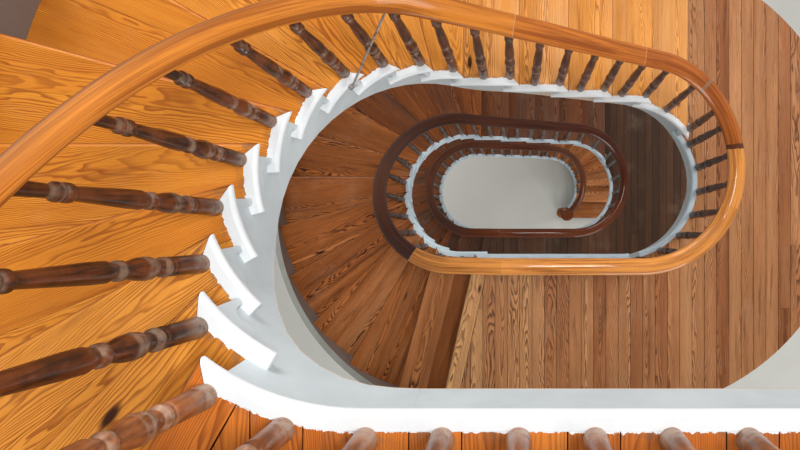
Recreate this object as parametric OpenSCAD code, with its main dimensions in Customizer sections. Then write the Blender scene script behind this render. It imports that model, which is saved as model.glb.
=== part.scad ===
// Open-well timber stair: three flights rise anticlockwise round a long oval well.
// Winders turn round the left end, fliers climb the far side and landings line the near side.

/* [Well] */
// Radius of the well's round ends, measured to the nosing tips
well_r = 450; // [380:5:560]
// Length of the well's straight sides
well_straight = 1000; // [800:10:1300]
// Clear width of the flights, from the cut string to the wall string
stair_w = 960; // [800:10:1150]

/* [Storeys] */
// Rise of each step in the lowest flight
rise_1 = 160; // [140:1:200]
// Rise of each step in the middle flight
rise_2 = 180; // [140:1:210]
// Rise of each step in the top flight
rise_3 = 200; // [150:1:220]

/* [Steps] */
// Going of the straight treads, from nosing to nosing
going = 258; // [220:1:280]
// Step of the winders along the nosing tips
winder_going = 120.5; // [105:0.5:126]
// Turn of each winder's nosing line
winder_turn = 15; // [14:0.5:15.5]
// Place of the first straight nosing along the well
first_x = 873; // [800:1:900]
// How far a tread oversails its riser and its string
nosing = 34; // [20:1:40]
// Thickness of the treads
tread_t = 32; // [25:1:40]
// Rounding of the nosings' edges
nosing_round = 11; // [4:1:14]
// Thickness of the risers
riser_t = 22; // [15:1:28]
// How far a return nosing runs on past the next nosing
tail = 77; // [40:1:90]

/* [Strings and landings] */
// Thickness of the cut string and the landing fascias
string_t = 38; // [28:1:50]
// Depth of the landings, and of the string below the corners of the straight steps
string_drop = 268; // [220:1:320]
// Thickness of the wall string
wall_string_t = 30; // [22:1:45]
// Height of the wall string above the nosing line
wall_string_up = 75; // [60:1:120]
// Thickness of the landing boards
deck_t = 28; // [20:1:34]
// Width of a joist
joist_w = 50; // [38:1:75]
// Distance between joists
joist_gap = 380; // [300:10:450]
// Thickness of the plaster below
plaster_t = 16; // [12:1:25]

/* [Balustrade] */
// Height of the handrail's centre above a landing
rail_up = 745; // [650:1:950]
// Heights above the nosings of the lowest flight: first step, last straight one, third winder, fourth from the top
rail_up_1 = [760, 760, 745, 745]; // [560:1:1000]
// The same in the middle flight
rail_up_2 = [650, 690, 655, 865]; // [560:1:1000]
// The same in the top flight, whose rail has dropped over the winders
rail_up_3 = [600, 815, 578, 635]; // [560:1:1000]
// Width of the handrail
rail_w = 88; // [60:1:100]
// Height of the handrail
rail_h = 62; // [45:1:75]
// How far the balusters and rail stand out from the nosing tips
rail_off = 48; // [40:1:70]
// How far age has moved the rail sideways over the balusters' feet
lean_x = -21; // [-30:1:30]
// How far age has moved the rail towards the far side
lean_y = 45; // [-30:1:50]
// Radius of a baluster's foot
baluster_r = 22; // [16:0.5:26]
// Distance between balusters on the landings
baluster_gap = 134; // [110:1:160]
// Radius of the newel post
newel_r = 42; // [34:1:50]
// Radius of the cap on the newel post
cap_r = 100; // [88:1:115]
// Radius of the rounded end of the first step
bull_r = 85; // [76:1:100]
// Place of the newel post round the well's right end, in degrees from its far side
newel_turn = 145; // [140:0.5:150]

/* [Hidden] */
// Clearance between pieces that meet
gap = 0.3;
// Clearance of the straight-sided pieces against the curved ones
fit = 1;
half = well_straight / 2;
rises = [0, rise_1, rise_2, rise_3];
rail_ups = [[], rail_up_1, rail_up_2, rail_up_3];
// Straight nosings before the winders in the two upper flights, and the one they share with the lowest
fliers = 6;
shared = 3;
// Winders round the left end in the three flights
winders = [0, 12, 12, 10];
// Winders round the right end and straight steps at the foot of the lowest flight
corner_winders = 5;
foot_steps = 3;
// The third nosing of the lowest flight crosses the right end here
foot_y = 65;
// The last nosing of the lower two flights meets the near side here, and slants
arrive_x = -410;
arrive_turn = 257.5;
wall_off = nosing + stair_w;
far_reach = 3 * (well_r + wall_off);
around = 2 * well_straight + 2 * PI * well_r;
// The lowest part of the wall string's moulding, and how far it stands out
mould_h = 26;
mould_out = 10;
// How far the rail runs level past the last nosing of a flight before the landing rail takes over
level_run = 180;

// Arc length to degrees round the well's ends, and back
function to_deg(s) = s / well_r * 180 / PI;
function to_len(a) = a * well_r * PI / 180;
function wrap(s) = s - around * floor((s + PI * well_r) / around);
function dir(a) = [cos(a), sin(a)];

// Point at arc length s along the well, counted from the right end of its far side, moved out by d
function spot(s, d) =
    let (w = wrap(s), r = well_r + d, turn = PI * well_r)
    w < 0 ? [half + r * sin(to_deg(-w)), r * cos(to_deg(-w))] :
    w <= well_straight ? [half - w, r] :
    w <= well_straight + turn ?
        [-half - r * sin(to_deg(w - well_straight)), r * cos(to_deg(w - well_straight))] :
    [-half + w - well_straight - turn, -r];

// Direction of climb at arc length s
function heading(s) =
    let (w = wrap(s))
    w < 0 ? 180 + to_deg(w) :
    w <= well_straight ? 180 :
    180 + min(180, to_deg(w - well_straight));

// Arc length where a straight nosing line meets the well
function tip_at_x(x) = x <= half ? half - x : -to_len(asin(min(1, (x - half) / well_r)));
function tip_at_y(y) = -to_len(acos(y / well_r));

// Nosing lines of a flight: arc length of each tip, and the direction of the line from it
left_start = tip_at_x(first_x - (fliers - 1) * going);
corner_start = tip_at_y(foot_y);
corner_end = tip_at_x(first_x - (shared - 1) * going);
function straight_noses(from) = [for (n = [from:fliers]) [tip_at_x(first_x - (n - 1) * going), 90]];
function winder_noses(count) =
    [for (n = [1:count]) [left_start + n * winder_going, 90 + n * winder_turn]];
function corner_noses() = [
    for (n = [1:corner_winders])
        let (part = n / (corner_winders + 1))
        [corner_start + part * (corner_end - corner_start), 90 * part]
];
newel_s = -to_len(newel_turn);
lean = [lean_x, lean_y];
newel_xy = spot(newel_s, rail_off) + lean;
first_y = newel_xy[1] - bull_r;
function foot_noses() = concat([[newel_s, 0]],
    [for (n = [foot_steps - 2:-1:0]) [tip_at_y(foot_y - n * going), 0]]);
arrival = [well_straight + PI * well_r + arrive_x + half, arrive_turn];
noses_1 = concat(foot_noses(), corner_noses(), straight_noses(shared), winder_noses(11), [arrival]);
noses_2 = concat(straight_noses(1), winder_noses(11), [arrival]);
noses_3 = concat(straight_noses(1), winder_noses(10));
noses = [[], noses_1, noses_2, noses_3];
function steps(k) = len(noses[k]);
function base_z(k) = k <= 1 ? 0 : base_z(k - 1) + steps(k - 1) * rises[k - 1];
function floor_z(k) = base_z(k) + steps(k) * rises[k];

// Nosing line at any step number u, with u past either end carried on level with the last going
function nose(k, u) =
    let (n = steps(k), i = max(1, min(n - 1, floor(u))), f = u - i, a = noses[k][i - 1], b = noses[k][i])
    a + min(f, 1) * (b - a) + (f > 1 ? [(f - 1) * going, 0] : [0, 0]);
function nose_s(k, n) = noses[k][n - 1][0];
function nose_turn(k, n) = noses[k][n - 1][1];

// Place where a line from p in direction a meets the oval of radius r
function meet(p, a, r) =
    let (d = dir(a), ty = abs(d[1]) < 0.001 ? 1e6 : (sign(d[1]) * r - p[1]) / d[1], x = p[0] + ty * d[0])
    ty < 1e5 && abs(x) <= half ? [x, sign(d[1]) * r] :
    let (c = [sign(ty < 1e5 ? x : d[0]) * half, 0], q = p - c, b = q * d, e = q * q - r * r)
    p + (-b + sqrt(b * b - e)) * d;
// Outward direction of the oval at a place on it
function outward(p) =
    let (q = [p[0] - max(-half, min(half, p[0])), p[1]])
    q / norm(q);
function foot_of(k, u) =
    k == 1 && u < 2 ? [half, first_y + (u - 1) * (foot_y - (foot_steps - 2) * going - first_y)] :
    spot(nose(k, u)[0], 0);
function wall_spot(k, u, d) =
    let (p = meet(foot_of(k, u), nose(k, u)[1], well_r + wall_off))
    p + d * outward(p);

// Heights along the well, evened out over a short run
function evened(table, s, run) =
    let (n = 4)
    [for (i = [-n:n]) lookup(s + i * run / n, table)] * [for (i = [-n:n]) 1 / (2 * n + 1)];
function rail_table(k) =
    let (n = steps(k), z = base_z(k), r = rises[k], last = n - winders[k], up = rail_ups[k])
    concat(
        k == 1 ? [] : [[nose_s(k, 1) - going / 2, z + rail_up]],
        [for (i = [1:n - 1]) [nose_s(k, i), z + i * r +
            lookup(i, [[1, up[0]], [last, up[1]], [last + 3, up[2]], [n - 4, up[3]], [n, rail_up]])]],
        [[nose_s(k, n), z + n * r + rail_up]]
    );
// How far the string reaches below a step's corner: as deep square to the pitch everywhere
function string_reach(k, i) =
    let (run = i >= steps(k) ? going : nose_s(k, i + 1) - nose_s(k, i), wide = run * (well_r + nosing) / well_r)
    string_drop * norm([1, rises[k] / (run > 1.4 * winder_going ? run : wide)]) / norm([1, rises[k] / going]);
function corner_table(k) =
    let (n = steps(k), z = base_z(k), r = rises[k])
    concat(
        [for (i = [1:n - 1]) [nose_s(k, i), z + (i - 1) * r - string_reach(k, i)]],
        [[nose_s(k, n), z + (n - 1) * r - string_drop], [nose_s(k, n) + going, z + n * r - string_drop]]
    );
rail_tables = [[], rail_table(1), rail_table(2), rail_table(3)];
corner_tables = [[], corner_table(1), corner_table(2), corner_table(3)];
even_run = 110;
rail_run = 170;
function rail_z(k, s) = evened(rail_tables[k], s, rail_run);
function string_z(k, s) = evened(corner_tables[k], s, even_run);

// Where the flight's own string and rail begin and end, in arc length
string_lead = going + even_run;
function run_start(k) = k == 1 ? newel_s + to_len(8) : nose_s(k, 1) - string_lead;
function run_end(k) = nose_s(k, steps(k)) + string_lead;
function next_start(k) = around + run_start(k + 1);

// Even list of places from a to b no further apart than step
function places(a, b, step) = let (n = ceil((b - a) / step)) [for (i = [0:n]) a + i * (b - a) / n];

// Flat shapes seen from above
module oval(d) {
    translate([-half, 0]) circle(r = well_r + d, $fn = 180);
    translate([half, 0]) circle(r = well_r + d, $fn = 180);
    square([well_straight, 2 * (well_r + d)], center = true);
}
module band(d0, d1) difference() {
    oval(d1);
    oval(d0);
}
// Strip of plan between nosing line n moved back by b0, and line m moved back by b1
module between(k, n, b0, m, b1) {
    a = nose_turn(k, n);
    b = nose_turn(k, m);
    p = foot_of(k, n) + b0 * dir(a + 90);
    q = foot_of(k, m) + b1 * dir(b + 90);
    polygon([p, p + far_reach * dir(a), q + far_reach * dir(b), q]);
}
// Plan of the well side from arc length s0 to s1, cut square at both ends
module run_plan(s0, s1, reach) {
    list = places(s0, s1, 60);
    polygon(concat([for (s = list) spot(s, reach)], [for (i = [len(list) - 1:-1:0]) spot(list[i], -reach)]));
}

// Body swept along the well: ring(s) gives the section's points
module swept(rings) {
    n = len(rings[0]);
    m = len(rings);
    polyhedron(
        points = [for (ring = rings) for (p = ring) p],
        faces = concat(
            [[for (j = [0:n - 1]) j]],
            [for (i = [0:m - 2]) for (j = [0:n - 1])
                for (f = [[i * n + j, (i + 1) * n + j, (i + 1) * n + (j + 1) % n],
                          [i * n + j, (i + 1) * n + (j + 1) % n, i * n + (j + 1) % n]]) f],
            [[for (j = [n - 1:-1:0]) (m - 1) * n + j]]
        ),
        convexity = 10
    );
}

// Steps
// Mitre between a step and its return nosing: from the tip of the nosing line at arc length s
function mitre_run(s) = spot(s + nosing, nosing) - spot(s, 0);
// Everything ahead of that mitre, down to the well
module ahead_of_mitre(s) {
    u = mitre_run(s) / norm(mitre_run(s)) * far_reach;
    h = dir(heading(s));
    p = spot(s, 0) - 1.4 * gap * h;
    polygon([p - u, p + u, p + u + far_reach * h, p - u + far_reach * h]);
}
// Section of a board's nosing: depth back from its front, and height, with both edges rounded by e
function nosed(t, e, depth) = concat([[depth, 0]],
    [for (a = [270:-30:180]) [e + e * cos(a), e + e * sin(a)]],
    [for (a = [180:-30:90]) [e + e * cos(a), t - e + e * sin(a)]], [[depth, t]]);
// Slab with a rounded front along nosing line n, its underside at z
module nosed_slab(k, n, z, t) {
    p = foot_of(k, n);
    translate([p[0], p[1], z]) rotate([90, 0, nose_turn(k, n) + 90]) translate([0, 0, -far_reach])
        linear_extrude(2 * far_reach) polygon(nosed(t, nosing_round, far_reach));
}
// Rounded board right round the edge of the well
module nosing_ring() {
    section = [for (q = nosed(tread_t, nosing_round, nosing - gap)) [well_r + q[0], q[1]]];
    for (side = [0, 180]) rotate([0, 0, side]) {
        translate([half, 0, 0]) rotate([0, 0, -90]) rotate_extrude(angle = 180, $fn = 180) polygon(section);
        translate([-half, 0, 0]) rotate([90, 0, 90]) linear_extrude(well_straight) polygon(section);
    }
}
// Piece of that board from a mitre at arc length s0 to a square end at s1
module strip(s0, s1) intersection() {
    nosing_ring();
    translate([0, 0, -5]) linear_extrude(tread_t + 10) polygon(concat(
        [spot(s0, 0) - mitre_run(s0), spot(s0, 0) + 2 * mitre_run(s0)],
        [for (s = places(s0 + 3 * nosing, s1, 60)) spot(s, 2 * nosing)],
        [for (s = places(-s1, -s0 - nosing, 60)) spot(-s, -nosing)]
    ));
}
module tread(k, n) {
    z = base_z(k) + n * rises[k] - tread_t;
    intersection() {
        nosed_slab(k, n, z, tread_t);
        translate([0, 0, z - 5]) linear_extrude(tread_t + 10) difference() {
            intersection() {
                oval(wall_off - fit);
                between(k, n, -2, n + 1, nosing + riser_t);
            }
            intersection() {
                oval(nosing);
                ahead_of_mitre(nose_s(k, n));
            }
        }
    }
}
module bull_tread() translate([0, 0, rise_1 - tread_t]) {
    intersection() {
        nosed_slab(1, 1, 0, tread_t);
        translate([0, 0, -5]) linear_extrude(tread_t + 10) difference() {
            intersection() {
                band(nosing, wall_off - fit);
                between(1, 1, -2, 2, nosing + riser_t);
            }
            translate([newel_xy[0] - far_reach, newel_xy[1] - far_reach]) square([far_reach, far_reach]);
            translate(newel_xy) circle(r = newel_r + gap, $fn = 60);
        }
    }
    bull_end();
}
// Rounded end of the first step, round the newel post
module bull_end() difference() {
    translate([newel_xy[0], newel_xy[1], 0]) rotate_extrude($fn = 90)
        polygon([for (q = nosed(tread_t, nosing_round, bull_r)) [bull_r - q[0], q[1]]]);
    translate([newel_xy[0], newel_xy[1], -5]) cylinder(r = newel_r + gap, h = tread_t + 10, $fn = 60);
}
module riser(k, n) {
    inner = nosing + string_t;
    translate([0, 0, base_z(k) + (n - 1) * rises[k]]) linear_extrude(rises[k] - (n == steps(k) ? deck_t : tread_t))
        intersection() {
            band(inner + fit, wall_off - fit);
            between(k, n, nosing, n, nosing + riser_t);
        }
}
module bull_riser() linear_extrude(rise_1 - tread_t) difference() {
    union() {
        intersection() {
            band(nosing, wall_off - fit);
            between(1, 1, nosing, 1, nosing + riser_t);
            translate([newel_xy[0], -far_reach / 2]) square([far_reach, far_reach]);
        }
        translate(newel_xy) circle(r = bull_r - nosing, $fn = 90);
    }
    translate(newel_xy) circle(r = newel_r + gap, $fn = 60);
}
module treads(k) color("sienna") {
    if (k == 1) bull_tread();
    for (n = [k == 1 ? 2 : 1:steps(k) - 1]) tread(k, n);
}
module risers(k) color("gainsboro") {
    if (k == 1) bull_riser();
    for (n = [k == 1 ? 2 : 1:steps(k)]) riser(k, n);
}
// White strip that finishes the well end of each tread, its tail running on under the next
module return_nosing(k, n) {
    bull = k == 1 && n == 1;
    translate([0, 0, base_z(k) + n * rises[k] - tread_t]) difference() {
        strip(bull ? newel_s : nose_s(k, n), nose_s(k, n + 1) + tail);
        if (bull) translate([newel_xy[0], newel_xy[1], -5]) cylinder(r = bull_r + gap, h = tread_t + 10, $fn = 90);
    }
}
module return_nosings(k) color("white")
    for (n = [1:steps(k) - 1]) return_nosing(k, n);

// Strings
function string_top(k, s) =
    let (n = steps(k), z = base_z(k), r = rises[k],
         done = len([for (i = [1:n]) if (nose_s(k, i) + nosing <= s + 0.01) i]))
    done == 0 ? z - (k == 1 ? -rise_1 + tread_t : deck_t) : z + done * r - (done == n ? deck_t : tread_t);
module cut_string(k) color("lightgray") {
    s0 = run_start(k);
    s1 = run_end(k);
    marks = [for (i = [1:steps(k)]) nose_s(k, i) + nosing];
    cuts = concat([s0], [for (m = marks) if (m > s0 + 1 && m < s1 - 1) m], [s1]);
    list = [for (i = [0:len(cuts) - 2]) let (p = places(cuts[i] + (i > 0 ? 0.05 : 0), cuts[i + 1], 62))
        for (s = p) [s, cuts[i]]];
    swept([
        for (q = list)
            let (s = q[0], top = string_top(k, q[1]), low = max(0, string_z(k, s)),
                 a = spot(s, nosing), b = spot(s, nosing + string_t))
            [[a[0], a[1], low], [a[0], a[1], top], [b[0], b[1], top], [b[0], b[1], low]]
    ]);
}
module wall_string(k) color("rosybrown") {
    n = steps(k);
    list = concat(
        [for (u = [1:n - 1]) for (p = [0:3]) u + p / 4],
        [n, n + 0.5]
    );
    swept([
        for (u = list)
            let (z = base_z(k) + min(u, n) * rises[k] + wall_string_up,
                 low = max(0, base_z(k) + (min(u, n + 1) - 1) * rises[k] - string_drop),
                 a = wall_spot(k, u, 0), b = wall_spot(k, u, -mould_out), c = wall_spot(k, u, wall_string_t))
            [[a[0], a[1], low], [a[0], a[1], z - mould_h], [b[0], b[1], z - mould_h * 0.5],
             [b[0], b[1], z], [c[0], c[1], z], [c[0], c[1], low]]
    ]);
}
module soffit(k) {
    n = steps(k);
    first = k == 1 ? 1 + string_drop / rise_1 : 1 - even_run / going;
    list = concat([first], [for (i = [ceil(4 * first + 0.2):4 * n]) i / 4], [n + 0.5, n + 1]);
    swept([
        for (u = list)
            let (line = nose(k, u), s = line[0], zi = string_z(k, s) + fit,
                 zo = base_z(k) + max(0, u - 1) * rises[k] - string_drop + fit,
                 a = spot(s, nosing + string_t + fit), b = wall_spot(k, u, -fit))
            [[a[0], a[1], zi], [a[0], a[1], zi + plaster_t], [b[0], b[1], zo + plaster_t], [b[0], b[1], zo]]
    ]);
}

// Landings
module landing_region(k, back, lead) {
    n = steps(k);
    a = nose_turn(k, n);
    p = spot(nose_s(k, n) + back, 0);
    x = first_x - lead;
    r = far_reach;
    polygon(concat([[-half, 0], p, p + r * dir(a), [r, -r], [r, r]],
        k == 3 ? [[half + well_r, r], [half + well_r, 0]] : [[x, r], [x, 0]], [[half, 0]]));
}
module well_hole(k, d) {
    oval(d);
    if (k == 3) translate([-far_reach, 0]) square([far_reach + half + well_r + d, far_reach]);
}
module landing_plan(k, d0, d1, back, lead) intersection() {
    difference() {
        oval(d1);
        well_hole(k, d0);
    }
    landing_region(k, back, lead);
}
module landing_boards(k) color("peru") intersection() {
    nosed_slab(k, steps(k), floor_z(k) - deck_t, deck_t);
    translate([0, 0, floor_z(k) - deck_t - 5]) linear_extrude(deck_t + 10) difference() {
        intersection() {
            oval(wall_off - fit);
            landing_region(k, -2, nosing + riser_t);
        }
        intersection() {
            well_hole(k, nosing);
            ahead_of_mitre(nose_s(k, steps(k)));
        }
    }
}
module landing_joists(k) color("tan")
    translate([0, 0, floor_z(k) - string_drop + plaster_t]) linear_extrude(string_drop - plaster_t - deck_t)
        intersection() {
            landing_plan(k, nosing + string_t + fit, wall_off - fit, nosing + riser_t + 12, -even_run);
            union() {
                band(wall_off - joist_w, far_reach);
                for (y = [-well_r - wall_off + 2 * joist_w:joist_gap:well_r + wall_off])
                    translate([-far_reach, y]) square([2 * far_reach, joist_w]);
            }
        }
module ceiling(k) translate([0, 0, floor_z(k) - string_drop]) linear_extrude(plaster_t)
    landing_plan(k, nosing + string_t + fit, wall_off - fit, going + fit, -even_run - fit);
module plaster(k) color("whitesmoke") {
    soffit(k);
    ceiling(k);
}
module landing_fascia(k) color("lightgray")
    translate([0, 0, floor_z(k) - string_drop]) linear_extrude(string_drop - deck_t) intersection() {
        difference() {
            oval(nosing + string_t + (k == 3 ? far_reach : 0));
            well_hole(k, nosing);
        }
        if (k == 3) union() {
            run_plan(run_end(3) + gap, around - PI * well_r / 2, 2 * nosing + string_t);
            translate([half + well_r, -1]) square([nosing + string_t, well_r + wall_off]);
        }
        else run_plan(run_end(k) + gap, next_start(k) - gap, 2 * nosing + string_t);
        if (k == 3) well_edge(nosing + string_t);
    }
// Strip along the edge of the top landing's opening, out to distance d from the nosing tips
module well_edge(d) {
    oval(d);
    translate([0, -1]) square([half + well_r + d, well_r + wall_off]);
}
module landing_nosing(k) color("white") translate([0, 0, floor_z(k) - tread_t]) {
    long = well_r + wall_off - fit;
    strip(nose_s(k, steps(k)), k == 3 ? around - PI * well_r / 2 : around + nose_s(k + 1, 1) + tail);
    if (k == 3) translate([half + well_r, long, 0]) rotate([90, 0, 0])
        linear_extrude(long - gap) polygon(nosed(tread_t, nosing_round, nosing - gap));
}

// Balustrade
// Section of the handrail: across the rail, and up from its centre
rail_section = [
    [-0.30, -0.50], [0.30, -0.50], [0.40, -0.36], [0.40, -0.22], [0.50, -0.08], [0.49, 0.12], [0.41, 0.30],
    [0.26, 0.44], [0, 0.50], [-0.26, 0.44], [-0.41, 0.30], [-0.49, 0.12], [-0.50, -0.08], [-0.40, -0.22],
    [-0.40, -0.36]
];
function rail_ring(s, z) =
    let (p = spot(s, rail_off), out = dir(heading(s) - 90))
    [for (q = rail_section)
        [p[0] + lean_x + q[0] * rail_w * out[0], p[1] + lean_y + q[0] * rail_w * out[1], z + q[1] * rail_h]];
function rail_start(k) = k == 1 ? newel_s + to_len(cap_r / (well_r + rail_off) * 180 / PI * 0.82)
    : nose_s(k, 1) - going - rail_run - 10;
function rail_end(k) = nose_s(k, steps(k)) + level_run;
module flight_rail(k) color("saddlebrown") {
    s0 = rail_start(k);
    s1 = rail_end(k);
    turn = well_straight + PI * well_r;
    cuts = concat(
        places(s0, 0, 46),
        [for (s = places(0, well_straight, 63)) if (s > 0) s],
        [for (s = places(well_straight, min(s1, turn), 46)) if (s > well_straight) s],
        [for (s = [s1]) if (s > turn + 1) s]
    );
    swept([for (s = cuts) rail_ring(s, rail_z(k, s))]);
}
module rail_bar(length) rotate([90, 0, 90]) translate([0, 0, gap]) linear_extrude(length - 2 * gap)
    polygon([for (q = rail_section) [q[0] * rail_w, q[1] * rail_h]]);
module rail_bend(from, to) rotate([0, 0, from]) rotate_extrude(angle = to - from, $fn = 120)
    polygon([for (q = rail_section) [well_r + rail_off + q[0] * rail_w, q[1] * rail_h]]);
module landing_rail(k) color("saddlebrown") {
    z = floor_z(k) + rail_up;
    turn = well_straight + PI * well_r;
    s0 = rail_end(k);
    start = s0 > turn ? s0 - turn - half : -half;
    last = k == 3 ? 0 : 90 + to_deg(rail_start(k + 1));
    translate([lean_x, lean_y, z]) {
        if (s0 < turn) translate([-half, 0, 0]) rail_bend(90 + to_deg(s0 - well_straight), 270);
        translate([start, -well_r - rail_off, 0]) rail_bar(half - start);
        translate([half, 0, 0]) rail_bend(-90, last);
        if (k == 3) translate([half + well_r + rail_off, 0, 0]) rotate([0, 0, 90])
            rail_bar(well_r + wall_off - lean_y);
    }
}

// Turned outline of a baluster: radius and height, both as shares
turning = [
    [1.00, 0], [0.93, 0.190], [0.74, 0.200], [0.74, 0.210], [0.96, 0.218], [0.96, 0.232], [0.68, 0.244],
    [0.72, 0.268], [1.02, 0.300], [1.08, 0.325], [0.98, 0.362], [0.66, 0.418], [0.88, 0.432], [0.88, 0.450],
    [0.64, 0.462], [0.92, 0.500], [0.90, 0.560], [0.60, 0.800], [0.82, 0.812], [0.82, 0.826], [0.62, 0.838],
    [0.80, 0.852], [0.80, 0.864], [0.56, 0.880], [0.62, 1]
];
module baluster_body(h) rotate_extrude($fn = 48) polygon(concat([[0, -6], [baluster_r, -6]],
    [for (t = turning) [t[0] * baluster_r, t[1] * h]], [[turning[24][0] * baluster_r, h + 30], [0, h + 30]]));
// Baluster at arc length s on a surface at z0, cut level below and to the slope of the rail above
module baluster(k, s, z0, level) {
    p = spot(s, rail_off);
    centre = level ? floor_z(k) + rail_up : rail_z(k, s);
    h = centre - z0 - rail_h / 2 - 2 * gap;
    curve = heading(s + 1) == heading(s - 1) ? 1 : well_r / (well_r + rail_off);
    slope = level ? 0 : atan((rail_z(k, s + 20) - rail_z(k, s - 20)) / 40 * curve);
    intersection() {
        translate([p[0], p[1], z0])
            rotate([-atan(lean_y / (centre - z0)), atan(lean_x / (centre - z0)), 0]) baluster_body(h);
        translate([p[0] + lean_x, p[1] + lean_y, z0 + h]) rotate([0, 0, heading(s)]) rotate([0, -slope, 0])
            translate([-1500, -150, -1500]) cube([3000, 300, 1500]);
        translate([p[0] - 200, p[1] - 200, z0]) cube([400, 400, 1500]);
    }
}
// Two balusters stand on a straight tread and one on a winder
function step_feet(k, n) =
    let (a = nose_s(k, n), b = nose_s(k, n + 1), wide = b - a > 1.4 * winder_going)
    wide ? [a + nosing + baluster_r * 0.5, (a + b) / 2 + nosing + baluster_r * 0.5] : [a + nosing + baluster_r * 0.7];
module flight_balusters(k) color("saddlebrown")
    for (n = [1:steps(k) - 1]) for (s = step_feet(k, n))
        if (k > 1 || s > rail_start(1) + baluster_r) baluster(k, s, base_z(k) + n * rises[k], false);
module landing_balusters(k) color("saddlebrown") {
    first = nose_s(k, steps(k)) + nosing + baluster_r * 0.4;
    last = k == 3 ? around - PI * well_r / 2 : around + nose_s(k + 1, 1) - baluster_r * 2;
    count = round((last - first) / baluster_gap);
    for (i = [0:count]) let (s = first + i * (last - first) / count)
        if (s < rail_end(k)) baluster(k, s, floor_z(k), false);
        else if (k < 3 && s > around + rail_start(k + 1)) baluster(k + 1, s - around, floor_z(k), false);
        else baluster(k, s, floor_z(k), true);
    if (k == 3) for (y = [baluster_gap:baluster_gap:well_r + wall_off - baluster_r - 2 * lean_y])
        translate([0, y, 0]) baluster(3, last, floor_z(3), true);
}

// Newel post, its cap, and the iron brace
newel_top = rail_z(1, rail_start(1));
newel_turning = [
    [1, 0], [1, 0.300], [0.82, 0.315], [1.02, 0.330], [1.02, 0.350], [0.72, 0.370], [1.00, 0.430], [0.98, 0.470],
    [0.70, 0.560], [0.90, 0.575], [0.90, 0.595], [0.66, 0.615], [0.80, 0.700], [0.60, 0.880], [0.80, 0.900],
    [0.80, 0.925], [0.62, 0.945], [0.74, 1]
];
module newel_post() color("saddlebrown") {
    h = newel_top - rail_h / 2 - gap;
    translate([newel_xy[0], newel_xy[1], 0]) rotate_extrude($fn = 72)
        polygon(concat([[0, 0]], [for (t = newel_turning) [t[0] * newel_r, t[1] * h]], [[0, h]]));
}
module newel_cap() color("saddlebrown") {
    s = rail_start(1);
    p = spot(s, rail_off);
    difference() {
        translate([newel_xy[0], newel_xy[1], newel_top]) rotate_extrude($fn = 96)
            polygon([[0, -rail_h / 2], [cap_r * 0.72, -rail_h / 2], [cap_r * 0.84, -rail_h * 0.34],
                [cap_r * 0.84, -rail_h * 0.22], [cap_r, -rail_h * 0.08], [cap_r * 0.99, rail_h * 0.12],
                [cap_r * 0.90, rail_h * 0.30], [cap_r * 0.70, rail_h * 0.42], [cap_r * 0.35, rail_h * 0.48],
                [0, rail_h * 0.50]]);
        translate([p[0] + lean_x, p[1] + lean_y, newel_top]) rotate([0, 0, heading(s)])
            translate([-gap, -150, -100]) cube([300, 300, 200]);
    }
}
rod_r = 4;
rod_top_s = well_straight + 90;
rod_foot_step = 9;
module brace_rod() color("silver") {
    s = nose_s(3, rod_foot_step) + 66;
    low = base_z(3) + rod_foot_step * rise_3 - tread_t / 2;
    a = concat(spot(rod_top_s, rail_off - rail_w * 0.18) + lean,
        [rail_z(3, rod_top_s) - rail_h / 2 - rod_r * 2]);
    b = concat(spot(s, -rod_r * 2 - gap), [low]);
    v = a - b;
    length = norm(v);
    translate(b) rotate([0, acos(v[2] / length), atan2(v[1], v[0])]) cylinder(r = rod_r, h = length, $fn = 24);
    translate(b) rotate([0, 0, heading(s) - 90]) rotate([0, 90, 0])
        translate([0, 0, -rod_r]) cylinder(r = rod_r * 3, h = rod_r * 3, $fn = 32);
}

// The origin is the centre of the newel post's foot on the ground
module placed() translate([-newel_xy[0], -newel_xy[1], 0]) children();

for (k = [1:3]) placed() {
    treads(k);
    risers(k);
    return_nosings(k);
    cut_string(k);
    wall_string(k);
    plaster(k);
    flight_balusters(k);
    flight_rail(k);
    landing_boards(k);
    landing_joists(k);
    landing_fascia(k);
    landing_nosing(k);
    landing_balusters(k);
    landing_rail(k);
}
placed() newel_post();
placed() newel_cap();
placed() brace_rod();
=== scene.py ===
# Open-well timber stair seen from above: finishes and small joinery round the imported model.
import math
import random

import bmesh
import bpy
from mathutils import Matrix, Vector


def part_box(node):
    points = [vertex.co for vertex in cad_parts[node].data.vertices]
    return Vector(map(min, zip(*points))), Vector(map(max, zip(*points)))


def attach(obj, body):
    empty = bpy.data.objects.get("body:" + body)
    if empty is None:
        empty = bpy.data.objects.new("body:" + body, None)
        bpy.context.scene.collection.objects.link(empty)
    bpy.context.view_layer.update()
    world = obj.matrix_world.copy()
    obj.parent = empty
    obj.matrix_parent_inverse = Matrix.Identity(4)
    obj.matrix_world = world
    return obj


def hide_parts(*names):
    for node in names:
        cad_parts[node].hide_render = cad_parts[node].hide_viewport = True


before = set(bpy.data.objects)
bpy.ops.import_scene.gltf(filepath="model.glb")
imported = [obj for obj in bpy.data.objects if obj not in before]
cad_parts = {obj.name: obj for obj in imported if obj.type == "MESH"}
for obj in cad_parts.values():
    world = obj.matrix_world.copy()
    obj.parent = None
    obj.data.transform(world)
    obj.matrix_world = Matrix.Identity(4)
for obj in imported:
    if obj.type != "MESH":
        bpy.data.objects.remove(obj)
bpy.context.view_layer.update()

STOREYS = (1, 2, 3)
WELL_R = 0.450          # radius of the well's round ends at the nosing tips
HALF = 0.500            # half the length of its straight sides
NOSING = 0.034          # oversail of the treads
TREAD = 0.032           # thickness of the treads
LEAN = Vector((-0.021, 0.045, 0))   # how far the rail has moved over the balusters' feet
AROUND = 4 * HALF + 2 * math.pi * WELL_R
LEFT_TURN = 2 * HALF + math.pi * WELL_R
WRAP = 0.4              # pieces that start on the near side run on past the right end up to here
SAME = 0.002            # places nearer than this lie in one cross section
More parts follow.
